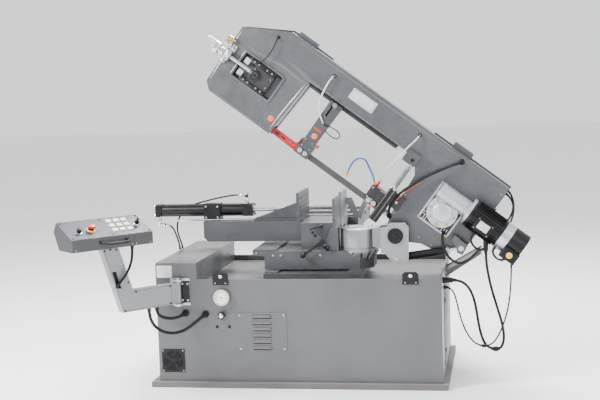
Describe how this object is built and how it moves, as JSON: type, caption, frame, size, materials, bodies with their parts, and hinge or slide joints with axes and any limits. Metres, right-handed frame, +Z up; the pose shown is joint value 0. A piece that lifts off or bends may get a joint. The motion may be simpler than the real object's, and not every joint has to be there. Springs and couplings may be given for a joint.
{
  "type": "horizontal band saw",
  "caption": "Horizontal metal-cutting band saw with a raised swivelling bow, hydraulic vise, blade wheels behind hinged covers, cabinet base and control pendant.",
  "frame": {"origin": "centre of the base plate's underside, on the floor", "axes": "+X to the drive-motor end, +Y away from the operator towards the infeed rollers, +Z up"},
  "size_m": [2.4576, 1.9499, 2.0003],
  "materials": {
    "black_paint": "satin",
    "black_plastic": "matt",
    "bow_paint": "satin",
    "cabinet_paint": "satin",
    "cast_aluminium": "cast",
    "cast_iron": "machined",
    "cast_paint": "satin",
    "chrome": "polished",
    "dark_steel": "oiled",
    "pendant_paint": "satin",
    "plinth": "matt",
    "red": "gloss",
    "red_paint": "gloss",
    "rubber": "matt",
    "steel": "machined",
    "white": "satin"
  },
  "bodies": {
    "base": {"base_plate": "plinth", "cabinet": "cabinet_paint", "louvre_panel": "cabinet_paint", "fan_grille": "black_plastic", "pressure_gauge": "white", "corner_brackets": "black_paint", "bed": "cast_paint", "rear_jaw": "cast_iron", "vise_cylinder": "cast_aluminium", "roller_frame": "cabinet_paint", "chip_chute": "cabinet_paint", "pendant_bracket": "cast_aluminium", "cable_glands": "chrome", "vise_hoses": "rubber", "cable_lower": "rubber"},
    "valve": {"valve_knob": "chrome"},
    "jaw_front": {"front_jaw": "cast_iron"},
    "jaw_clamp": {"clamp_lever": "black_plastic"},
    "jaw_moving": {"vise_jaw": "cast_iron", "vise_rod": "chrome"},
    "roll_1": {"roller_1": "steel"},
    "roll_2": {"roller_2": "steel"},
    "roll_3": {"roller_3": "steel"},
    "head": {"turntable": "cast_aluminium", "pivot_shaft": "steel", "cable_upper": "rubber"},
    "bow": {"bow_frame": "bow_paint", "arm_rail": "dark_steel", "blade": "dark_steel", "right_guide_arm": "cast_paint", "gearbox": "cast_aluminium", "motor": "black_paint", "bow_lines": "rubber"},
    "barrel": {"lift_barrel": "black_paint"},
    "ram": {"lift_rod": "chrome"},
    "door_left": {"left_cover": "bow_paint"},
    "door_right": {"right_cover": "bow_paint"},
    "drive": {"drive_wheel": "cast_iron"},
    "rotor": {"motor_rotor": "black_plastic"},
    "tension": {"tension_slide": "dark_steel"},
    "idler": {"idler_wheel": "cast_iron"},
    "screw": {"tension_screw": "steel"},
    "guide": {"left_guide_arm": "cast_paint", "blade_guard": "red_paint", "guide_hose": "rubber"},
    "pendant": {"pendant_arm": "cabinet_paint", "pendant_box": "pendant_paint", "pendant_cables": "rubber"},
    "stop": {"e_stop": "red"},
    "selector": {"selector_knob": "black_plastic"},
    "key": {"key_switch": "black_plastic"},
    "key_1": {"button_1": "white"},
    "key_2": {"button_2": "white"},
    "key_3": {"button_3": "white"},
    "key_4": {"button_4": "white"},
    "key_5": {"button_5": "white"},
    "key_6": {"button_6": "white"},
    "key_7": {"button_7": "white"},
    "key_8": {"button_8": "white"},
    "key_9": {"button_9": "white"}
  },
  "joints": [
    {"name": "valve_turn", "type": "hinge", "parent": "base", "child": "valve", "pos_m": [-0.413, -0.463, 0.405], "axis": [0, -1, 0], "continuous": true},
    {"name": "front_jaw_slide", "type": "slide", "parent": "base", "child": "jaw_front", "axis": [-1, 0, 0], "range_m": [0, 0.095]},
    {"name": "jaw_clamp_turn", "type": "hinge", "parent": "jaw_front", "child": "jaw_clamp", "pos_m": [0.116, -0.246, 0.77], "axis": [0, 1, 0], "range_deg": [0, 80]},
    {"name": "vise_jaw_slide", "type": "slide", "parent": "base", "child": "jaw_moving", "axis": [1, 0, 0], "range_m": [-0.11, 0.225]},
    {"name": "roller_1_spin", "type": "hinge", "parent": "base", "child": "roll_1", "pos_m": [0.038, 0.38, 0.848], "axis": [1, 0, 0], "continuous": true},
    {"name": "roller_2_spin", "type": "hinge", "parent": "base", "child": "roll_2", "pos_m": [0.038, 0.62, 0.848], "axis": [1, 0, 0], "continuous": true},
    {"name": "roller_3_spin", "type": "hinge", "parent": "base", "child": "roll_3", "pos_m": [0.038, 0.86, 0.848], "axis": [1, 0, 0], "continuous": true},
    {"name": "head_swivel", "type": "hinge", "parent": "base", "child": "head", "pos_m": [0.318, -0.12, 0.722], "axis": [0, 0, 1], "range_deg": [0, 60], "deforming": ["cable_lower"]},
    {"name": "bow_pivot", "type": "hinge", "parent": "head", "child": "bow", "pos_m": [0.537, -0.14, 0.81], "axis": [0, -1, 0], "range_deg": [-2, 37], "deforming": ["cable_upper"]},
    {"name": "lift_tilt", "type": "hinge", "parent": "head", "child": "barrel", "pos_m": [0.541, -0.221, 0.683], "axis": [0, -1, 0], "range_deg": [-1.8, 33]},
    {"name": "lift_stroke", "type": "slide", "parent": "barrel", "child": "ram", "axis": [0.9895, 0, 0.1443], "range_m": [-0.0045, 0.0755]},
    {"name": "left_cover_hinge", "type": "hinge", "parent": "bow", "child": "door_left", "pos_m": [0.00003, -0.089, 1.96842], "axis": [0.7986, 0, -0.6018], "range_deg": [0, 100]},
    {"name": "right_cover_hinge", "type": "hinge", "parent": "bow", "child": "door_right", "pos_m": [0.98395, -0.089, 1.22699], "axis": [0.7986, 0, -0.6018], "range_deg": [0, 100]},
    {"name": "drive_spin", "type": "hinge", "parent": "bow", "child": "drive", "pos_m": [0.7985, -0.12, 0.94101], "axis": [0, -1, 0], "continuous": true},
    {"name": "rotor_spin", "type": "hinge", "parent": "bow", "child": "rotor", "pos_m": [1.03276, -0.284, 0.87967], "axis": [0.7986, 0, -0.6018], "continuous": true},
    {"name": "tension_turn", "type": "hinge", "parent": "bow", "child": "screw", "pos_m": [-0.42679, -0.214, 1.87059], "axis": [0.7986, 0, -0.6018], "range_deg": [0, 1800.1]},
    {"name": "tension_travel", "type": "slide", "parent": "bow", "child": "tension", "axis": [0.7986, 0, -0.6018], "range_m": [0, 0.015]},
    {"name": "idler_spin", "type": "hinge", "parent": "tension", "child": "idler", "pos_m": [-0.23414, -0.12, 1.71915], "axis": [0, -1, 0], "continuous": true},
    {"name": "guide_arm_slide", "type": "slide", "parent": "bow", "child": "guide", "axis": [0.7986, 0, -0.6018], "range_m": [-0.08, 0.2], "deforming": ["guide_hose"]},
    {"name": "pendant_swing", "type": "hinge", "parent": "base", "child": "pendant", "pos_m": [-0.652, -0.49, 0.536], "axis": [0, 0, -1], "range_deg": [-75, 30], "deforming": ["pendant_cables"]},
    {"name": "stop_press", "type": "slide", "parent": "pendant", "child": "stop", "axis": [-0.343, 0.2878, -0.8942], "range_m": [0, 0.005], "stiffness_N_per_m": 1200, "springref_m": -0.002},
    {"name": "selector_turn", "type": "hinge", "parent": "pendant", "child": "selector", "pos_m": [-1.03719, -0.95525, 0.93255], "axis": [0.343, -0.2878, 0.8942], "range_deg": [-45, 45]},
    {"name": "key_turn", "type": "hinge", "parent": "pendant", "child": "key", "pos_m": [-0.81756, -0.66568, 0.94151], "axis": [0.343, -0.2878, 0.8942], "range_deg": [0, 90]},
    {"name": "button_1_press", "type": "slide", "parent": "pendant", "child": "key_1", "axis": [-0.343, 0.2878, -0.8942], "range_m": [0, 0.003], "stiffness_N_per_m": 400, "springref_m": -0.002},
    {"name": "button_2_press", "type": "slide", "parent": "pendant", "child": "key_2", "axis": [-0.343, 0.2878, -0.8942], "range_m": [0, 0.003], "stiffness_N_per_m": 400, "springref_m": -0.002},
    {"name": "button_3_press", "type": "slide", "parent": "pendant", "child": "key_3", "axis": [-0.343, 0.2878, -0.8942], "range_m": [0, 0.003], "stiffness_N_per_m": 400, "springref_m": -0.002},
    {"name": "button_4_press", "type": "slide", "parent": "pendant", "child": "key_4", "axis": [-0.343, 0.2878, -0.8942], "range_m": [0, 0.003], "stiffness_N_per_m": 400, "springref_m": -0.002},
    {"name": "button_5_press", "type": "slide", "parent": "pendant", "child": "key_5", "axis": [-0.343, 0.2878, -0.8942], "range_m": [0, 0.003], "stiffness_N_per_m": 400, "springref_m": -0.002},
    {"name": "button_6_press", "type": "slide", "parent": "pendant", "child": "key_6", "axis": [-0.343, 0.2878, -0.8942], "range_m": [0, 0.003], "stiffness_N_per_m": 400, "springref_m": -0.002},
    {"name": "button_7_press", "type": "slide", "parent": "pendant", "child": "key_7", "axis": [-0.343, 0.2878, -0.8942], "range_m": [0, 0.003], "stiffness_N_per_m": 400, "springref_m": -0.002},
    {"name": "button_8_press", "type": "slide", "parent": "pendant", "child": "key_8", "axis": [-0.343, 0.2878, -0.8942], "range_m": [0, 0.003], "stiffness_N_per_m": 400, "springref_m": -0.002},
    {"name": "button_9_press", "type": "slide", "parent": "pendant", "child": "key_9", "axis": [-0.343, 0.2878, -0.8942], "range_m": [0, 0.003], "stiffness_N_per_m": 400, "springref_m": -0.002}
  ],
  "couplings": [
    {"joint": "lift_tilt", "follows": "bow_pivot", "ratio": 0.878},
    {"joint": "lift_stroke", "follows": "bow_pivot", "m_per_rad": 0.1152},
    {"joint": "idler_spin", "follows": "drive_spin", "ratio": 1},
    {"joint": "rotor_spin", "follows": "drive_spin", "ratio": 30},
    {"joint": "tension_turn", "follows": "tension_travel", "rad_per_m": 2094.4}
  ]
}
